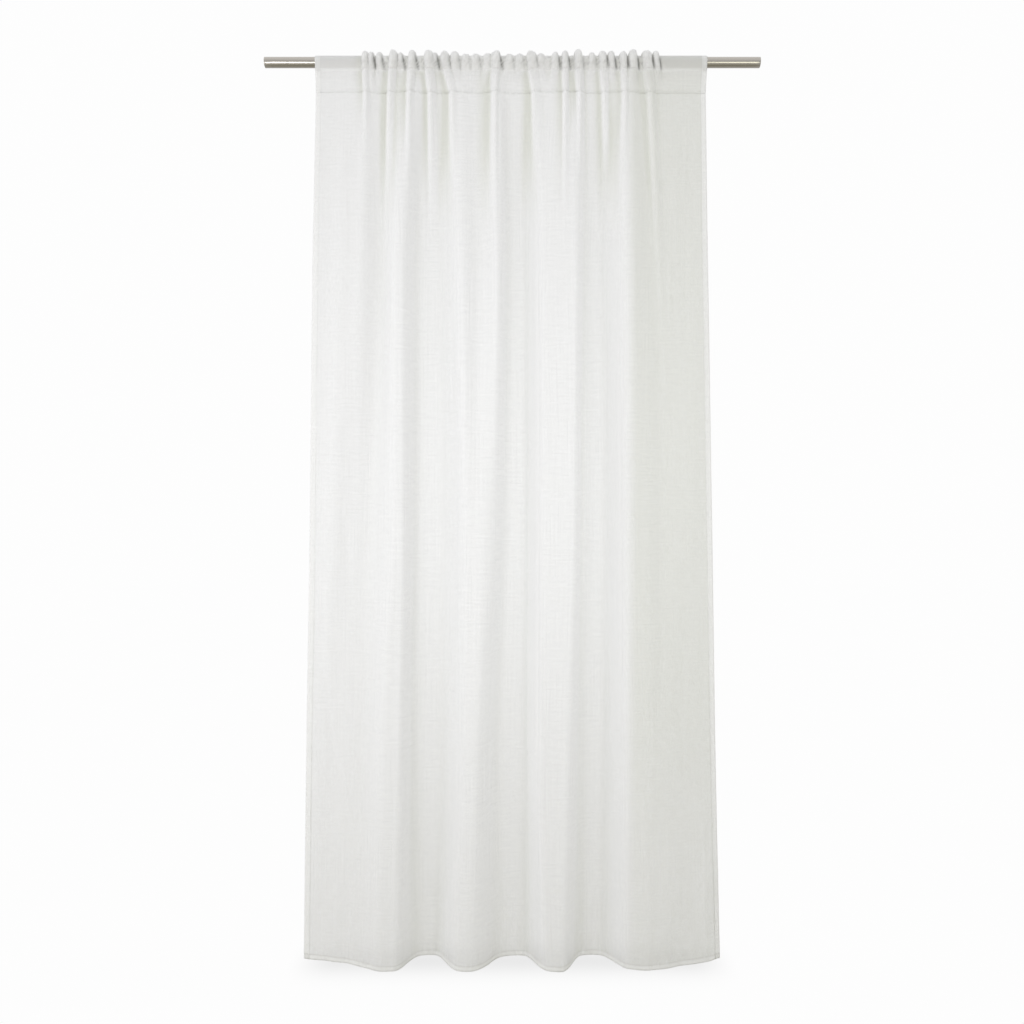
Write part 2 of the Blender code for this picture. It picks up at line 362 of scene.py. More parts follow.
def cloth_row(part, at, places):
    """One row of the sheet: its points and the way its right side faces.

    The part is "panel", "front" or "back", at a height, or "rod", at an angle in degrees round the
    rod from its front.
    """
    if part == "rod":
        x = across(places, 0.0)
        angle = math.radians(at)
        over = np.array((0.0, -math.cos(angle), math.sin(angle)))
        radius = POCKET_RADIUS + gathers(x, 0.0) + crumples(x, POCKET_RADIUS * angle)
        radius = np.maximum(radius, ROD_RADIUS + CLOTH_OFF_ROD)
        middle = np.column_stack((x, np.zeros_like(x), np.zeros_like(x)))
        return middle + radius[:, None] * over, np.tile(over, (len(x), 1))
    z = at
    x = across(places, z)
    bent = folds(x, z) * fold_share(z)
    loops = gathers(x, z)
    loose = swell(places, z) + puckers(places, z) + creases(x, z)
    down = z / SEAM_Z  # 0 at the rod and 1 at the seam, for the pocket's two layers
    towards = -1
    if part == "panel":
        y = -bent - loops - loose + seam_pinch(z)
    elif part == "front":
        y = -pocket_half_depth(z) - bent - loops - loose * down + seam_pinch(z) - crumples(x, z)
    else:
        y = pocket_half_depth(z) + (1 - 2 * down) * loops - (bent + loose - POCKET_GAP) * down
        towards = 1
    return np.column_stack((x, y, np.full_like(x, z))), outward_of(x, y, towards)


# ---- What the cloth's material reads: how closed in and how steep the cloth lies at each point, which it paints as shade and light.

SHADE_STEPS = 1400  # steps across the curtain at which the cloth's form is read
HOLLOW_CURVE = 1.25  # above 1, so that shallow hollows count for less

# Reach and depth of the valleys between loops, of those where the loops loosen into folds, and of those
# between the panel's folds, then how far each looks to the fold on its right.
NARROW = (0.016, 0.009, 0.3)
MIDDLING = (0.034, 0.0050, 0.2)
WIDE = (0.075, 0.040, 0.0)
MIDDLING_SHADE = 1.25
WIDE_SHADE = ((0, 0.3, 1.3, 1.9, 2.48), (1.0, 0.5, 0.30, 0.60, 1.3))  # depths below the rod, then shades
# Strength of the shade painted over the cloth right of RIGHT_FLANK.
RIGHT_SHADE = 0.66
RIGHT_FLANK = 0.302  # shade is painted on the cloth right of here, as if it turned away from the light
RIGHT_FLANK_EDGE = 0.04

CRUMPLE_DEPTH = 0.8 * MM  # at which a hollow on the rod counts for half as much again
DEEPEST = 1.4  # the most that a hollow with a crumple in it counts for
TOP_STEEPNESS = 0.7  # of the cloth on top of the rod and behind it
TOP_FROM, TOP_OVER = 25, 40  # degrees round the rod at which that begins, and over which it grows

# How some of these fade: from a depth below the rod, over a further depth, losing so large a share.
MIDDLING_FADE = (0.10, 0.40, 1.0)
RIGHT_FADE = (1.7, 0.6, 0.5)
FACING_LEFT_FADE = (1.5, 0.8, 0.3)
FACING_RIGHT_FADE = (0.0, 0.45, 1.0)


def faded(z, start, over, share):
    """1 down to a depth of start below the rod, then losing its share over a further depth."""
    return 1 - share * float(ease((-z - start) / over))


def hollow(x, z, reach, depth, lean):
    """0 on open cloth, rising to 1 in valleys of about that reach and depth."""
    fine = np.linspace(x[0], x[-1], SHADE_STEPS)
    out = form(fine, z)
    width = int(reach / (fine[1] - fine[0]))
    bell = np.hanning(2 * width + 1)
    around = np.convolve(np.pad(out, width, mode="edge"), bell / bell.sum(), mode="valid")
    around = np.interp(x + lean * reach, fine, around)
    return np.clip((around - np.interp(x, fine, out)) / depth, 0, 1) ** HOLLOW_CURVE


def valleys(x, z):
    """How much shade is painted on the cloth: 0 on open cloth, and 1 or more in the valleys between its folds
    and over its right part.
    """
    middling = MIDDLING_SHADE * faded(z, *MIDDLING_FADE) * hollow(x, z, *MIDDLING)
    wide = float(np.interp(-z, *WIDE_SHADE)) * hollow(x, z, *WIDE)
    # Painted shade over the cloth right of RIGHT_FLANK, where there is no valley.
    turned = RIGHT_SHADE * faded(z, *RIGHT_FADE) * ease((x - RIGHT_FLANK) / RIGHT_FLANK_EDGE)
    return np.maximum(middling, wide) + turned


def steepness(x, z):
    """0 where the cloth faces forward, rising towards 1 where it turns right and -1 where it turns left."""
    fine = np.linspace(x[0], x[-1], SHADE_STEPS)
    slope = np.gradient(form(fine, z), fine)
    steep = np.interp(x, fine, -np.sign(slope) * (1 - 1 / np.hypot(1, slope)))
    return np.where(steep > 0, steep * faded(z, *FACING_RIGHT_FADE), steep * faded(z, *FACING_LEFT_FADE))


def row_traits(part, at, x):
    """All that the material reads along one row of the sheet, under the names of its attributes."""
    on_rod = part == "rod"
    z = 0.0 if on_rod else at
    crumpled = tucked = np.zeros_like(x)
    if part == "front" or (on_rod and at < 90):
        angle = math.radians(at)
        crumpled = -crumples(x, POCKET_RADIUS * angle if on_rod else z) / CRUMPLE_DEPTH
        tucked = tucks(x, POCKET_RADIUS * math.sin(angle) if on_rod else z)
    steep = steepness(x, z)
    if on_rod:
        steep = np.maximum(steep, TOP_STEEPNESS * float(ease((at - TOP_FROM) / TOP_OVER)))
    return {
        "hollow": np.clip(hollow(x, z, *NARROW) * (1 + 0.5 * crumpled), 0, DEEPEST),
        "valley": valleys(x, z),
        "steep": steep,
        "tuck": tucked,
    }


# ---- The sheet's grid.

LAYER = 0.35 * MM  # between two layers of cloth that are sewn together
BOTTOM_LAYERS = (3.2, 4.2)  # how many layers behind the face the bottom hem's two turned layers lie
BETWEEN = -0.4  # in them, a side hem's layers lie so much nearer the face
RAW_EDGE = 0.0015  # by which the pocket's back is turned under, below its seam
POCKET_TURN = 0.010  # how far up the turned edge then runs

HEM_STEP = 0.0042  # between columns in the side hems
FLAT_STEP = 0.0080  # in the flat cloth beside them
GATHER_STEP = 0.0028  # and in the gathered cloth
FLAT_SHARE = 0.090  # of the panel's width, at each side, that is hems and flat cloth

EVEN_COLUMN = 12  # in the flat cloth near the left edge: lengths along the cloth are measured down it


def along_line(points):
    """The distance from the first of a line of points to each of them."""
    return np.concatenate(([0], np.cumsum(np.linalg.norm(np.diff(points, axis=0), axis=1))))


def spaced(start, stop, step):
    """Evenly spaced values from start up to but not including stop, about step apart."""
    count = max(1, round(abs(stop - start) / step))
    return list(np.linspace(start, stop, count, endpoint=False))


def stepped(*stretches):
    """Values through stretches that follow one another, each given as start, stop and step."""
    return [value for stretch in stretches for value in spaced(*stretch)]


def sheet_columns():
    """Each column's place across the flat panel and how many layers behind its face it lies."""
    hem = SIDE_HEM / FINISHED_WIDTH
    under = TURN_UNDER / FINISHED_WIDTH
    turned = [(hem - under, 1), (hem - under / 2, 1), (hem, 1), (hem, 2), (hem / 2, 2), (0, 2)]
    face = stepped(
        (0, hem, HEM_STEP / FINISHED_WIDTH),
        (hem, FLAT_SHARE, FLAT_STEP / FINISHED_WIDTH),
        (FLAT_SHARE, 1 - FLAT_SHARE, GATHER_STEP / FINISHED_WIDTH),
        (1 - FLAT_SHARE, 1 - hem, FLAT_STEP / FINISHED_WIDTH),
        (1 - hem, 1, HEM_STEP / FINISHED_WIDTH),
    )
    right = [(1 - place, layer) for place, layer in reversed(turned)]
    return turned + [(place, 0) for place in face + [1.0]] + right


def sheet_rows():
    """Each row's part of the sheet, its height or angle, and how many layers behind its face it lies."""
    top = HEM_Z + BOTTOM_HEM
    inner, outer = BOTTOM_LAYERS
    rows = [("panel", z, inner) for z in (top - TURN_UNDER, top - TURN_UNDER / 2, top)]
    rows += [("panel", z, outer) for z in (top, HEM_Z + 0.007, HEM_Z)]
    panel = stepped(
        (HEM_Z, top, 0.0052),
        (top, top + 0.04, 0.0080),
        (top + 0.04, -0.40, 0.0215),
        (-0.40, -0.12, 0.0120),
        (-0.12, SEAM_Z, 0.0040),
    )
    rows += [("panel", z, 0) for z in panel]
    rows += [("front", z, 0) for z in stepped((SEAM_Z, -0.060, 0.0037), (-0.060, -0.006, 0.0060))]
    rows += [("rod", degrees, 0) for degrees in np.linspace(-12, 192, 18)]
    rows += [("back", z, 0) for z in stepped((-0.012, -0.060, 0.0080), (-0.060, SEAM_Z, 0.0044))]
    rows += [("back", SEAM_Z, 0), ("back", SEAM_Z - RAW_EDGE, 0)]
    rows += [("back", SEAM_Z - RAW_EDGE, 1), ("back", SEAM_Z + POCKET_TURN, 1)]
    return rows


def make_sheet():
    """The panel as one sheet of cloth with its pocket and its turned hems, and what its material reads."""
    columns = sheet_columns()
    places = np.array([place for place, _ in columns])
    column_layers = np.array([layer for _, layer in columns])
    spots = np.unique(places)
    where = np.searchsorted(spots, places)
    points = []
    traits = {name: [] for name in ("hollow", "valley", "steep", "tuck")}
    for part, at, row_layer in sheet_rows():
        spot_points, spot_outward = cloth_row(part, at, spots)
        behind = (row_layer + column_layers * (BETWEEN if row_layer in BOTTOM_LAYERS else 1)) * LAYER
        points.append(spot_points[where] - spot_outward[where] * behind[:, None])
        for name, values in row_traits(part, at, spot_points[:, 0]).items():
            traits[name].append(values[where])
    return np.array(points), columns, {name: np.array(values) for name, values in traits.items()}


def flat_across(columns):
    """How far across the cut cloth each column lies, turned hems included."""
    places = np.array([place for place, _ in columns]) * FINISHED_WIDTH
    return np.concatenate(([0], np.cumsum(np.abs(np.diff(places)))))


def shown(name, data):
    """An object made of this mesh, light or camera, in the scene."""
    made = bpy.data.objects.new(name, data)
    bpy.context.scene.collection.objects.link(made)
    return made


def grid_object(name, grid, u, v, traits):
    """A smooth mesh through a grid of points, with its flat size in metres as its UV map."""
    row_count, column_count = grid.shape[:2]
    index = np.arange(row_count * column_count).reshape(row_count, column_count)
    corners = (index[:-1, :-1], index[:-1, 1:], index[1:, 1:], index[1:, :-1])
    faces = np.stack(corners, axis=-1).reshape(-1, 4)
    mesh = bpy.data.meshes.new(name)
    mesh.from_pydata(grid.reshape(-1, 3).tolist(), [], faces.tolist())
    uv = mesh.uv_layers.new(name="flat")
    row_of, column_of = np.divmod(faces.reshape(-1), column_count)
    flat = np.column_stack((u[column_of], v[row_of])).astype(np.float32)
    uv.data.foreach_set("uv", flat.reshape(-1))
    for trait, values in traits.items():
        own = mesh.attributes.new(trait, "FLOAT", "POINT")
        own.data.foreach_set("value", values.astype(np.float32).reshape(-1))
    mesh.shade_smooth()
    mesh.validate()
    return shown(name, mesh)


# ---- Stitches.

STITCH_LENGTH = 3.0 * MM
STITCH_PITCH = 3.9 * MM
THREAD_RADIUS = 0.19 * MM
STITCH_RINGS = ((-1.0, 0.35), (-0.6, 1.0), (0.6, 1.0), (1.0, 0.35))  # in half lengths, then how thick

# How far behind the cloth's face the thread's middle lies, and how far it stands out from there: it shows
# on both faces of the layers that it sews.
SEAM_THREAD = (0.50 * MM, 1.15 * MM)
BOTTOM_THREAD = (0.75 * MM, 1.10 * MM)
SIDE_THREAD = (0.35 * MM, 0.95 * MM)

SIDE_SEWN = SIDE_HEM - 1.5 * MM  # from the panel's side to that hem's stitching
BOTTOM_SEWN = BOTTOM_HEM - 1.4 * MM  # and from the panel's bottom


def at_stitches(line, table):
    """A table's rows, one to each point of a line, read where the line's stitches have their middles."""
    distance = along_line(line)
    at = (np.arange(int(distance[-1] / STITCH_PITCH)) + 0.5) * STITCH_PITCH
    return np.column_stack([np.interp(at, distance, column) for column in table.T])


def stitch_mesh(name, seams):
    """Short tubes of thread along seams, each a line of points, its outward directions and a depth."""
    verts, faces = [], []
    for line, outward, depth in seams:
        middles = at_stitches(line, line)
        outs = at_stitches(line, outward)
        ways = np.gradient(middles, axis=0)
        ways /= np.linalg.norm(ways, axis=1)[:, None]
        outs /= np.linalg.norm(outs, axis=1)[:, None]
        for middle, way, out, side in zip(middles, ways, outs, np.cross(ways, outs)):
            first = len(verts)
            for step, thick in STITCH_RINGS:
                centre = middle + way * step * STITCH_LENGTH / 2
                for aside, above in ((1, 0), (0, 1), (-1, 0), (0, -1)):
                    verts.append(centre + side * aside * THREAD_RADIUS * thick + out * above * depth * thick)
            for ring in range(len(STITCH_RINGS) - 1):
                for corner in range(4):
                    a = first + ring * 4 + corner
                    b = first + ring * 4 + (corner + 1) % 4
                    faces.append((a, b, b + 4, a + 4))
            faces.append((first + 3, first + 2, first + 1, first))
            faces.append((first + 12, first + 13, first + 14, first + 15))
    mesh = bpy.data.meshes.new(name)
    mesh.from_pydata([tuple(v) for v in verts], [], faces)
    mesh.shade_smooth()
    mesh.validate()
    return shown(name, mesh)


def down_cloth(path, place):
    """Points and outward directions where one column of the cloth crosses the rows of a path."""
    beside = 0.0008
    points, outs = [], []
    for part, at in path:
        spots, outward = cloth_row(part, at, np.array((place - beside, place, place + beside)))
        points.append(spots[1])
        outs.append(outward[1])
    return np.array(points), np.array(outs)


def make_stitches():
    """All of the panel's visible stitching: the pocket's seam, the bottom hem and the side hems."""
    places = np.linspace(0.004, 0.996, 1200)
    points, outs = cloth_row("panel", SEAM_Z, places)
    seams = [(points + np.array((0, SEAM_THREAD[0], 0)), outs, SEAM_THREAD[1])]
    points, outs = cloth_row("panel", HEM_Z + BOTTOM_SEWN, places)
    seams.append((points - outs * BOTTOM_THREAD[0], outs, BOTTOM_THREAD[1]))
    path = [("panel", z) for z in np.linspace(HEM_Z + 0.002, SEAM_Z, 420)]
    path += [("front", z) for z in np.linspace(SEAM_Z + 0.004, -0.006, 16)]
    path += [("rod", degrees) for degrees in np.linspace(-12, 192, 14)]
    path += [("back", z) for z in np.linspace(-0.010, SEAM_Z, 16)]
    sewn = SIDE_SEWN / FINISHED_WIDTH
    for place in (sewn, 1 - sewn):
        points, outs = down_cloth(path, place)
        seams.append((points - outs * SIDE_THREAD[0], outs, SIDE_THREAD[1]))
    return stitch_mesh("hem_stitches", seams)


# ---- The rod.

ROD_EDGE = 0.35 * MM  # to which the cut rims are rounded
ROD_SIDES = 96
ROD_STEPS = 24  # along it, outside and in its bore


def make_rod():
    """The tube, turned about its own axis, with its cut rims just broken."""
    half = (ROD_HIGH[0] - ROD_LOW[0]) / 2
    inner = ROD_RADIUS - ROD_WALL
    clear = half - 0.020
    turns = np.linspace(0, math.pi / 2, 4)
    rim = [(half - ROD_EDGE * (1 - math.cos(turn)), ROD_EDGE * (1 - math.sin(turn))) for turn in turns]
    right = [(x, inner + off) for x, off in reversed(rim)] + [(x, ROD_RADIUS - off) for x, off in rim]
    left = [(-x, r) for x, r in reversed(right)]
    body = [(x, ROD_RADIUS) for x in np.linspace(clear, -clear, ROD_STEPS)]
    bore = [(x, inner) for x in np.linspace(-clear, clear, ROD_STEPS)]
    loop = right + body + left + bore
    angles = np.linspace(0, 2 * math.pi, ROD_SIDES, endpoint=False)
    grid = [(x, -r * math.cos(angle), r * math.sin(angle)) for angle in angles for x, r in loop]
    count = len(loop)
    index = np.arange(ROD_SIDES * count).reshape(ROD_SIDES, count)
    after = np.roll(index, -1, axis=0)
    corners = (index, np.roll(index, -1, axis=1), np.roll(after, -1, axis=1), after)
    faces = np.stack(corners, axis=-1).reshape(-1, 4)
    mesh = bpy.data.meshes.new("rod_tube")
    mesh.from_pydata(grid, [], faces.tolist())
    uv = mesh.uv_layers.new(name="round")
    lengths = np.cumsum([0] + [math.dist(a, b) for a, b in zip(loop, loop[1:] + loop[:1])])
    flat = []
    for row in range(ROD_SIDES):
        v0, v1 = (turn / ROD_SIDES * 2 * math.pi * ROD_RADIUS for turn in (row, row + 1))
        for u0, u1 in zip(lengths, lengths[1:]):
            flat += [(u0, v0), (u1, v0), (u1, v1), (u0, v1)]
    uv.data.foreach_set("uv", np.array(flat, dtype=np.float32).reshape(-1))
    mesh.shade_smooth()
    mesh.set_sharp_from_angle(angle=math.radians(50))
    mesh.validate()
    return shown("rod_tube", mesh)


# ---- Materials.

class Nodes:
    """Short names for the nodes that the materials and the world use."""

    def __init__(self, owner, output="ShaderNodeOutputMaterial"):
        self.owner = owner
        owner.use_nodes = True
        self.tree = owner.node_tree
        self.tree.nodes.clear()
        self.output = self.add(output)

    def add(self, kind, sockets=None, **settings):
        """A new node, with its sockets set to numbers or colours or joined to other nodes' outputs."""
        node = self.tree.nodes.new(kind)
        for key, value in settings.items():
            setattr(node, key, value)
        for name, value in (sockets or {}).items():
            if isinstance(value, bpy.types.NodeSocket):
                self.tree.links.new(value, node.inputs[name])
            else:
                node.inputs[name].default_value = value
        return node

    def math(self, operation, a, b=0.0, clamp=False):
        node = self.add("ShaderNodeMath", {0: a, 1: b}, operation=operation, use_clamp=clamp)
        return node.outputs[0]

    def product(self, first, *others):
        """Several values multiplied together."""
        for other in others:
            first = self.math("MULTIPLY", first, other)
        return first

    def most(self, first, *others):
        """The greatest of several values."""
        for other in others:
            first = self.math("MAXIMUM", first, other)
        return first

    def remap(self, value, low, high, to_low=0.0, to_high=1.0, smooth=False):
        sockets = {"Value": value, "From Min": low, "From Max": high, "To Min": to_low, "To Max": to_high}
        curve = "SMOOTHSTEP" if smooth else "LINEAR"
        return self.add("ShaderNodeMapRange", sockets, interpolation_type=curve).outputs["Result"]

    def between(self, share, at_none, at_all):
        """From one value to another as a share goes from 0 to 1."""
        return self.remap(share, 0.0, 1.0, at_none, at_all)

    def noise(self, vector, scale=1.0, detail=2.0, roughness=0.5):
        sockets = {"Vector": vector, "Scale": scale, "Detail": detail, "Roughness": roughness}
        return self.add("ShaderNodeTexNoise", sockets, noise_dimensions="3D").outputs["Fac"]

    def stretched(self, vector, x, y, z=1.0):
        return self.add("ShaderNodeVectorMath", {0: vector, 1: (x, y, z)}, operation="MULTIPLY").outputs[0]

    def split(self, vector):
        outputs = self.add("ShaderNodeSeparateXYZ", {0: vector}).outputs
        return outputs["X"], outputs["Y"], outputs["Z"]

    def blend(self, factor, a, b):
        node = self.add("ShaderNodeMix", {"Factor": factor, "A": a, "B": b}, data_type="RGBA")
        return node.outputs["Result"]

    def attribute(self, name):
        return self.add("ShaderNodeAttribute", attribute_name=name).outputs["Fac"]

    def bump(self, height, strength, distance):
        sockets = {"Height": height, "Strength": strength, "Distance": distance}
        return self.add("ShaderNodeBump", sockets).outputs["Normal"]

    def mix_shaders(self, factor, a, b):
        return self.add("ShaderNodeMixShader", {"Fac": factor, 1: a.outputs[0], 2: b.outputs[0]})

    def for_camera(self, unseen, seen):
        """One shader that the camera sees, and another that lights what is around it."""
        return self.mix_shaders(self.add("ShaderNodeLightPath").outputs["Is Camera Ray"], unseen, seen)

    def finish(self, shader):
        """Put a shader on what the nodes belong to, and return that."""
        self.tree.links.new(shader.outputs[0], self.output.inputs["Surface"])
        return self.owner


THREAD_PITCH = 0.75 * MM
THREAD_SOFTNESS = 0.14  # of its edge

# Places on the cut cloth, measured up it from its bottom edge.
SEAM_ON_CLOTH = 2.4305  # the pocket's front seam
UNDER_THE_ROD = 2.4875  # where the cloth comes under the rod, in front
OFF_THE_ROD = 2.5665  # where it leaves the rod, behind
HEM_TOP = 2 * BOTTOM_HEM + TURN_UNDER  # the top of the bottom hem's face

# And measured across it from its left edge.
LEFT_FACE = 2 * SIDE_HEM + TURN_UNDER  # where the left hem's face ends
RIGHT_FACE = FINISHED_WIDTH + TURN_UNDER  # where the right hem's begins
GATHERS_BEGIN = (0.15, 0.18)
GATHERS_END = (1.33, 1.36)

# The yarn's colours: thin and thick thread, the two of uneven patches, doubled cloth, and the painted shades
# of hollows, folds, crumples and tucks and along the stitching.
THIN_THREAD = ((0.930, 0.930, 0.930, 1), (0.943, 0.944, 0.945, 1))
THICK_THREAD = (0.957, 0.957, 0.957, 1)
DOUBLED_CLOTH = (1.0, 1.0, 0.995, 1)
HOLLOW_PAINTED_SHADE = (0.60, 0.605, 0.585, 1)
FOLD_PAINTED_SHADE = (0.66, 0.676, 0.565, 1)
CRUMPLE_PAINTED_SHADE = (0.66, 0.66, 0.65, 1)
TUCK_PAINTED_SHADOW = (0.24, 0.24, 0.235, 1)
STITCH_LINES_AND_SHADE = (0.52, 0.515, 0.48, 1)
STITCHING_REACH = 0.0026


def cloth_places(n, u, v):
    """Masks of the cloth's parts, and what its mesh carries of its form and of the shade to paint on it."""
    behind = n.remap(v, OFF_THE_ROD - 0.003, OFF_THE_ROD + 0.003, smooth=True)
    over_rod = n.remap(v, UNDER_THE_ROD - 0.009, UNDER_THE_ROD + 0.004, smooth=True)
    gathered = n.product(n.remap(u, *GATHERS_BEGIN), n.remap(u, *GATHERS_END, 1.0, 0.0))
    by_rod = n.product(over_rod, n.math("SUBTRACT", 1.0, behind))
    return SimpleNamespace(
        u=u, v=v,
        hollow=n.attribute("hollow"),
        valley=n.attribute("valley"),
        steep=n.attribute("steep"),
        tuck=n.attribute("tuck"),
        behind=behind,
        by_rod=by_rod,
        gathered=gathered,
        gathered_rod=n.product(gathered, by_rod),
        in_pocket=n.math("GREATER_THAN", v, SEAM_ON_CLOTH),
        turned_in=n.most(
            n.math("LESS_THAN", u, SIDE_HEM + TURN_UNDER),
            n.math("GREATER_THAN", u, FINISHED_WIDTH + SIDE_HEM + TURN_UNDER),
            n.math("LESS_THAN", v, BOTTOM_HEM + TURN_UNDER),
        ),
        hem_face=n.math("LESS_THAN", v, HEM_TOP),
        side_face=n.most(n.math("LESS_THAN", u, LEFT_FACE), n.math("GREATER_THAN", u, RIGHT_FACE)),
    )


def thread_cover(n, along, slub):
    """How much of a thread is at a point along the way across it: slubs widen it."""
    place = n.math("FRACT", n.product(along, 1 / THREAD_PITCH))
    aside = n.math("ABSOLUTE", n.math("SUBTRACT", n.product(place, 2.0), 1.0))
    closeness = n.math("SUBTRACT", 1.0, aside)  # 1 on the middle of a thread, 0 midway between two
    edge = n.remap(slub, 0.25, 0.75, 0.72, 0.36)
    low = n.math("SUBTRACT", edge, THREAD_SOFTNESS)
    high = n.math("ADD", edge, THREAD_SOFTNESS)
    return n.remap(closeness, low, high, smooth=True)


def voile_opacity(n, uv, at, threads):
    """How much of the light behind it the cloth stops at each point."""
    down = n.noise(n.stretched(uv, 1 / 0.0075, 1 / 0.42), detail=4.0, roughness=0.62)
    across_it = n.noise(n.stretched(uv, 1 / 0.045, 1 / 0.0065), detail=3.0, roughness=0.55)
    streaks = n.math("ADD", n.remap(down, 0.3, 0.7, -0.04, 0.04), n.remap(across_it, 0.3, 0.7, -0.04, 0.04))
    dense = n.product(
        n.math("ADD", 1.0, streaks),
        n.between(at.turned_in, 0.93, 0.12),
        n.between(at.behind, 1.0, 0.30),
        # Denser in the tucks and where the cloth faces right, sheerer where it faces left: painted shade and
        # painted light.
        n.between(at.tuck, 1.0, 1.3),
        n.remap(at.steep, 0.0, 0.7, 1.0, 1.22),
        n.remap(at.steep, -0.55, 0.0, 0.62, 1.0),
        n.between(at.in_pocket, 1.0, 0.84),
    )
    opacity = n.math("MULTIPLY", n.between(threads, 0.42, 1.0), dense, clamp=True)
    return n.most(opacity, n.product(at.by_rod, n.between(at.gathered, 0.86, 0.97)))


def stitching_shade(n, at):
    """1 on the darkest line by the stitching, fading to 0 beside it: dark lines along the hems' edges, the
    side ones darker towards the bottom, and painted shade along the seam where it crosses the valleys.
    """

    def line_at(along, place):
        aside = n.math("ABSOLUTE", n.math("SUBTRACT", along, place))
        return n.remap(aside, 0.0, STITCHING_REACH, 1.0, 0.0)

    side_lines = n.most(line_at(at.u, LEFT_FACE), line_at(at.u, RIGHT_FACE))
    return n.most(
        n.product(line_at(at.v, HEM_TOP), 0.4),
        n.product(side_lines, n.remap(at.v, 0.3, 1.4, 0.35, 0.08)),
        # Along the seam, a line of painted shade that shows only in the valleys.
        n.product(line_at(at.v, SEAM_ON_CLOTH), n.remap(at.hollow, 0.1, 0.5, 0.0, 0.85)),
    )


def voile_colour(n, uv, at, slubs):
    """The yarn's colour: nearly white, with shade painted into its hollows, valleys, crumples and tucks and
    over its right part, and light painted on the loops.
    """
    patch = n.noise(n.stretched(uv, 1 / 0.16, 1 / 0.45), detail=2.0)
    rumple = n.noise(n.stretched(uv, 1 / 0.0085, 1 / 0.0095), detail=2.0, roughness=0.55)
    # Painted shade in the narrow hollows between the loops, weaker over the rod.
    hollow_shade = n.product(n.remap(at.hollow, 0.0, 1.4, 0.0, 0.55), n.between(at.by_rod, 1.0, 0.16))
    # Painted shade in the folds' valleys and over the cloth's right part, weaker over the rod.
    valley_shade = n.product(n.between(at.valley, 0.0, 0.68), n.between(at.by_rod, 1.0, 0.45))
    # Whiter loops on the rod, most on their crowns and least in the hollows: doubled cloth, and painted
    # light.
    doubled_and_lit_loops = n.product(at.gathered_rod, n.remap(at.hollow, 0.0, 0.4, 1.0, 0.3))
    # Painted shade in blotches on the gathered cloth by the rod, strongest in the hollows between loops.
    painted_crumple_shade = n.product(
        at.gathered_rod,
        n.remap(rumple, 0.44, 0.64, 0.0, 0.66, smooth=True),
        n.remap(at.hollow, 0.0, 0.5, 0.28, 1.0),
    )
    colour = n.blend(n.remap(patch, 0.3, 0.7), *THIN_THREAD)
    for factor, tint in (
        (n.remap(slubs, 0.36, 0.64), THICK_THREAD),
        (hollow_shade, HOLLOW_PAINTED_SHADE),
        (valley_shade, FOLD_PAINTED_SHADE),
        (doubled_and_lit_loops, DOUBLED_CLOTH),
        (painted_crumple_shade, CRUMPLE_PAINTED_SHADE),
        # Painted shadow, nearly black, in the tucks beside the loops.
        (n.between(at.tuck, 0.0, 0.84), TUCK_PAINTED_SHADOW),
        (n.most(at.hem_face, n.product(at.side_face, 0.8)), DOUBLED_CLOTH),
        (stitching_shade(n, at), STITCH_LINES_AND_SHADE),
    ):
        colour = n.blend(factor, colour, tint)
    return colour


def voile_material():
    """Sheer plain weave: two sets of uneven threads, and the gaps between them."""
    n = Nodes(bpy.data.materials.new("voile"))
    uv = n.add("ShaderNodeUVMap", uv_map="flat").outputs["UV"]
    u, v, _ = n.split(uv)
    at = cloth_places(n, u, v)

    # Slubs: thick and thin stretches of thread, long down the cloth and shorter across it.
    warp_slub = n.noise(n.stretched(uv, 1 / 0.0026, 1 / 0.22), detail=3.0, roughness=0.6)
    weft_slub = n.noise(n.stretched(uv, 1 / 0.060, 1 / 0.0026), detail=3.0, roughness=0.6)
    slubs = n.math("ADD", n.product(warp_slub, 0.55), n.product(weft_slub, 0.45))
    threads = n.most(thread_cover(n, at.u, warp_slub), thread_cover(n, at.v, weft_slub))

    colour = voile_colour(n, uv, at, slubs)
    normal = n.bump(n.math("ADD", n.product(threads, 0.6), n.product(slubs, 0.8)), 0.35, 0.4 * MM)
    face = n.add("ShaderNodeBsdfPrincipled", {
        "Base Color": colour,
        "Roughness": n.remap(slubs, 0.3, 0.7, 0.92, 0.80),
        "Specular IOR Level": 0.25,
        "Sheen Weight": 0.12,
        "Sheen Roughness": 0.5,
        "Normal": normal,
    })
    through = n.add("ShaderNodeBsdfTranslucent", {"Color": colour, "Normal": normal})

    # Less light comes through the yarn where the cloth is doubled, and less still over the rod.
    share = n.between(n.most(at.hem_face, at.side_face), 0.40, 0.22)
    yarn = n.mix_shaders(n.product(share, n.between(at.by_rod, 1.0, 0.25)), face, through)
    gap = n.add("ShaderNodeBsdfTransparent")
    return n.finish(n.mix_shaders(voile_opacity(n, uv, at, threads), gap, yarn))


def thread_material():
    """Sewing thread: twisted white cotton."""
    n = Nodes(bpy.data.materials.new("sewing_thread"))
    place = n.add("ShaderNodeTexCoord").outputs["Object"]
    twist = n.noise(place, scale=2600.0, detail=1.0)
    return n.finish(n.add("ShaderNodeBsdfPrincipled", {
        "Base Color": n.blend(twist, (0.92, 0.92, 0.90, 1), (0.98, 0.98, 0.96, 1)),
        "Roughness": 0.75,
        "Sheen Weight": 0.2,
        "Normal": n.bump(twist, 0.5, 0.1 * MM),
    }))


BRUSHED_DARK = (0.50, 0.468, 0.425, 1)
BRUSHED_LIGHT = (0.63, 0.60, 0.555, 1)
BRUSHED_BAND = (0.42, 0.39, 0.35, 1)


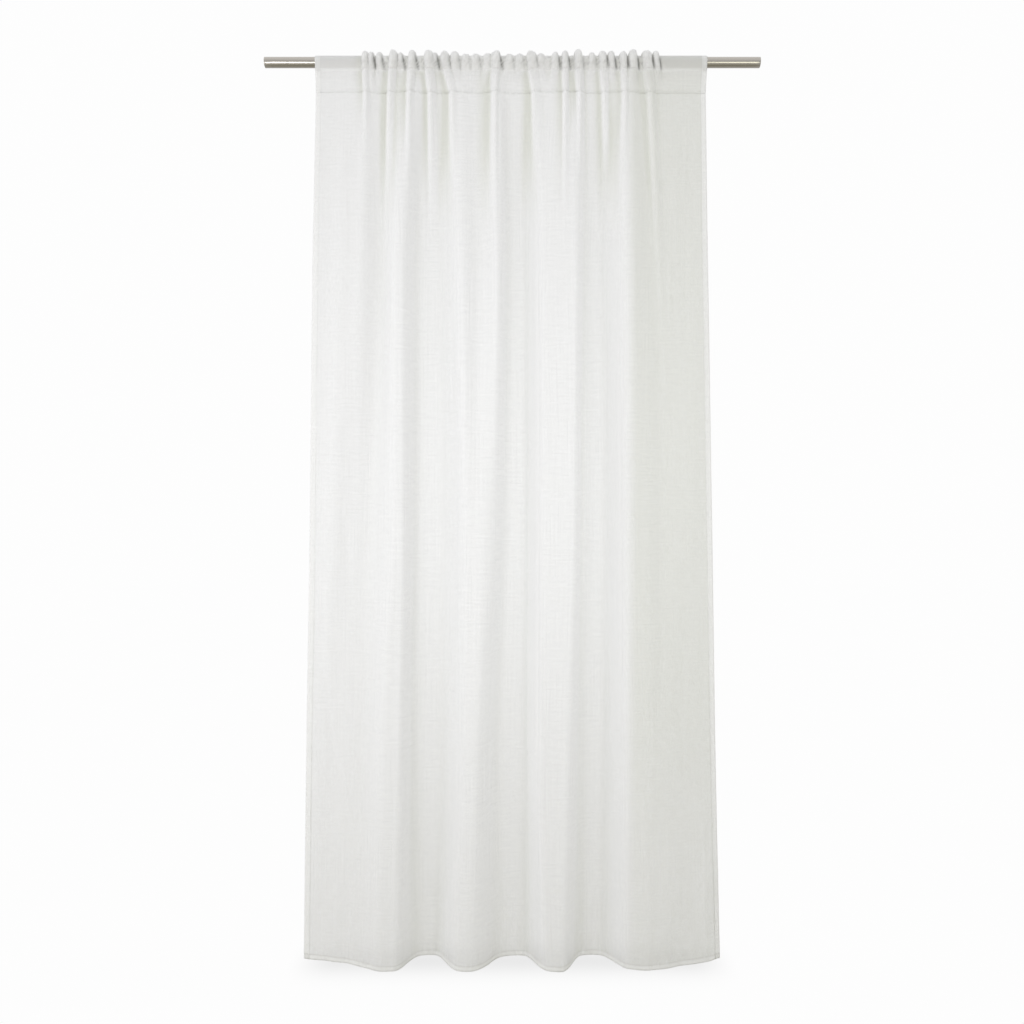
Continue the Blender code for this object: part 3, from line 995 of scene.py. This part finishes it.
def steel_material():
    """Satin steel, brushed along the tube, with faint handling marks."""
    n = Nodes(bpy.data.materials.new("brushed_steel"))
    uv = n.add("ShaderNodeUVMap", uv_map="round").outputs["UV"]
    lines = n.noise(n.stretched(uv, 1 / 0.35, 1 / 0.0006), detail=3.0, roughness=0.6)
    bands = n.noise(n.stretched(uv, 1 / 2.5, 1 / 0.0030), detail=2.0)
    marks = n.remap(n.noise(uv, scale=26.0, detail=3.0), 0.45, 0.75, 0.0, 0.03)
    steel = n.blend(n.remap(lines, 0.35, 0.65), BRUSHED_DARK, BRUSHED_LIGHT)
    return n.finish(n.add("ShaderNodeBsdfPrincipled", {
        "Base Color": n.blend(n.remap(bands, 0.35, 0.65, 0.0, 0.45), steel, BRUSHED_BAND),
        "Metallic": 1.0,
        "Roughness": n.math("ADD", n.remap(lines, 0.3, 0.7, 0.13, 0.19), marks),
        "Normal": n.bump(lines, 0.02, 0.05 * MM),
    }))


# ---- The stage: floor, light and camera.

BACKDROP = 0.985  # radiance of the white that the camera sees behind and around the curtain
FILL = (0.632, 0.96)  # radiance of the soft light on the curtain, from the level and from straight above
FILL_COLOUR = (0.995, 0.997, 1.0, 1)
FLOOR_GAP = 0.016  # between the hem and the floor

# The painted shadow that the camera sees under the hem.
SHADE_MIDDLE = 0.055  # behind the rod
SHADE_REACH = 0.076  # forward and back from its middle
SHADE_DEPTH = 0.17
SHADE_ENDS = (0.49, 0.63)  # between which it fades, on both sides

# The floor's colour in the light that it reflects to the curtain, near it and far away.
FLOOR_NEAR = (0.350, 0.339, 0.270, 1)
FLOOR_FAR = (0.66, 0.65, 0.63, 1)
FLOOR_CHANGE = (0.6, 3.6)  # the distances between which one becomes the other


def make_world():
    """White for the camera, and a softer light from all round for the curtain."""
    world = bpy.data.worlds.new("studio")
    bpy.context.scene.world = world
    n = Nodes(world, "ShaderNodeOutputWorld")
    _, _, rise = n.split(n.add("ShaderNodeTexCoord").outputs["Generated"])
    fill = n.add("ShaderNodeBackground", {"Color": FILL_COLOUR, "Strength": n.between(rise, *FILL)})
    seen = n.add("ShaderNodeBackground", {"Color": (1, 1, 1, 1), "Strength": BACKDROP})
    n.finish(n.for_camera(fill, seen))


def floor_material():
    """A white studio floor with a soft shadow painted under the hem, for the camera only."""
    n = Nodes(bpy.data.materials.new("studio_floor"))
    place = n.add("ShaderNodeTexCoord").outputs["Object"]
    x, y, _ = n.split(place)
    back = n.math("DIVIDE", n.math("SUBTRACT", y, SHADE_MIDDLE), SHADE_REACH)
    under = n.math("POWER", math.e, n.product(back, back, -1.0))
    under = n.product(under, n.remap(n.math("ABSOLUTE", x), *SHADE_ENDS, 1.0, 0.0, smooth=True))
    grain = n.noise(place, scale=3.0, detail=3.0)
    shade = n.math("SUBTRACT", n.remap(grain, 0.3, 0.7, 0.998, 1.0), n.product(under, SHADE_DEPTH))
    seen = n.add("ShaderNodeEmission", {"Strength": n.product(shade, BACKDROP)})

    far = n.add("ShaderNodeVectorMath", {0: n.stretched(place, 1, 1, 0)}, operation="LENGTH").outputs["Value"]
    away = n.remap(far, *FLOOR_CHANGE, smooth=True)
    unseen = n.add("ShaderNodeBsdfDiffuse", {"Color": n.blend(away, FLOOR_NEAR, FLOOR_FAR)})
    return n.finish(n.for_camera(unseen, seen))


def make_floor():
    """A wide round floor, finely divided where the curtain's shadow falls."""
    rings = np.concatenate((np.linspace(0.05, 1.5, 24), np.linspace(2.0, 14.0, 12)))
    sides = 72
    z = HEM_Z - FLOOR_GAP
    verts = [(0, 0, z)]
    for radius in rings:
        for k in range(sides):
            turn = 2 * math.pi * k / sides
            verts.append((radius * math.cos(turn), radius * math.sin(turn), z))
    faces = [(0, 1 + k, 1 + (k + 1) % sides) for k in range(sides)]
    for ring in range(len(rings) - 1):
        for k in range(sides):
            a = 1 + ring * sides + k
            b = 1 + ring * sides + (k + 1) % sides
            faces.append((a, a + sides, b + sides, b))
    mesh = bpy.data.meshes.new("studio_floor")
    mesh.from_pydata(verts, [], faces)
    mesh.materials.append(floor_material())
    shown("studio_floor", mesh)


def make_light(name, place, target, size, power, colour):
    """A softbox that faces its target."""
    data = bpy.data.lights.new(name, "AREA")
    data.shape = "RECTANGLE"
    data.size, data.size_y = size
    data.energy = power
    data.color = colour
    light = shown(name, data)
    light.visible_camera = False
    way = np.array(target) - np.array(place)
    down = math.acos(-way[2] / np.linalg.norm(way))
    light.location = place
    light.rotation_euler = (down, 0, math.atan2(way[1], way[0]) - math.pi / 2)


LIGHTS = (
    # name    stands at            faces               width, height  watts  colour
    ("key",    (-3.00, -1.75, -1.20), (0.0, 0.0, -1.20),  (1.2, 1.5),  13.8, (0.99, 0.99, 1.04)),
    ("glint",  (-1.50, -2.40, -1.24), (0.0, 0.0, -1.00),  (1.0, 1.2),  10.0, (1.0, 1.0, 1.0)),
    ("answer", (1.45, -2.40, -1.24),  (0.0, 0.0, -1.00),  (0.9, 1.1),   4.8, (0.98, 1.0, 0.82)),
    ("back",   (-0.08, 0.95, -1.15),  (-0.06, 0.0, -1.15), (1.0, 1.1), 5.3, (0.98, 1.0, 1.04)),
)

CAMERA_DISTANCE = 2.400
VIEW_WIDTH = 2.816  # of the picture, at the rod
CAMERA_Z = -1.236


def make_camera():
    """A level camera at the curtain's middle height, square on to it."""
    data = bpy.data.cameras.new("camera")
    data.sensor_width = 36
    data.lens = data.sensor_width * CAMERA_DISTANCE / VIEW_WIDTH
    data.clip_end = 100
    camera = shown("camera", data)
    camera.location = (-0.001, -CAMERA_DISTANCE, CAMERA_Z)
    camera.rotation_euler = (math.pi / 2, 0, 0)
    bpy.context.scene.camera = camera


def make_stage():
    """All that is there only for the picture."""
    scene = bpy.context.scene
    scene.view_settings.view_transform = "Standard"
    scene.view_settings.look = "None"
    scene.cycles.transparent_max_bounces = 24
    make_camera()
    make_world()
    make_floor()
    for light in LIGHTS:
        make_light(*light)


def main():
    """The stage, then the curtain's three pieces."""
    make_stage()
    grid, columns, traits = make_sheet()
    u = flat_across(columns)
    v = along_line(grid[:, EVEN_COLUMN])
    cloth = grid_object("voile_cloth", grid, u, v, traits)
    cloth.data.materials.append(voile_material())
    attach(cloth, "root")
    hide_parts("voile_panel")

    stitches = make_stitches()
    stitches.data.materials.append(thread_material())
    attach(stitches, "root")

    rod = make_rod()
    rod.data.materials.append(steel_material())
    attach(rod, "root")
    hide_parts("rod")


main()
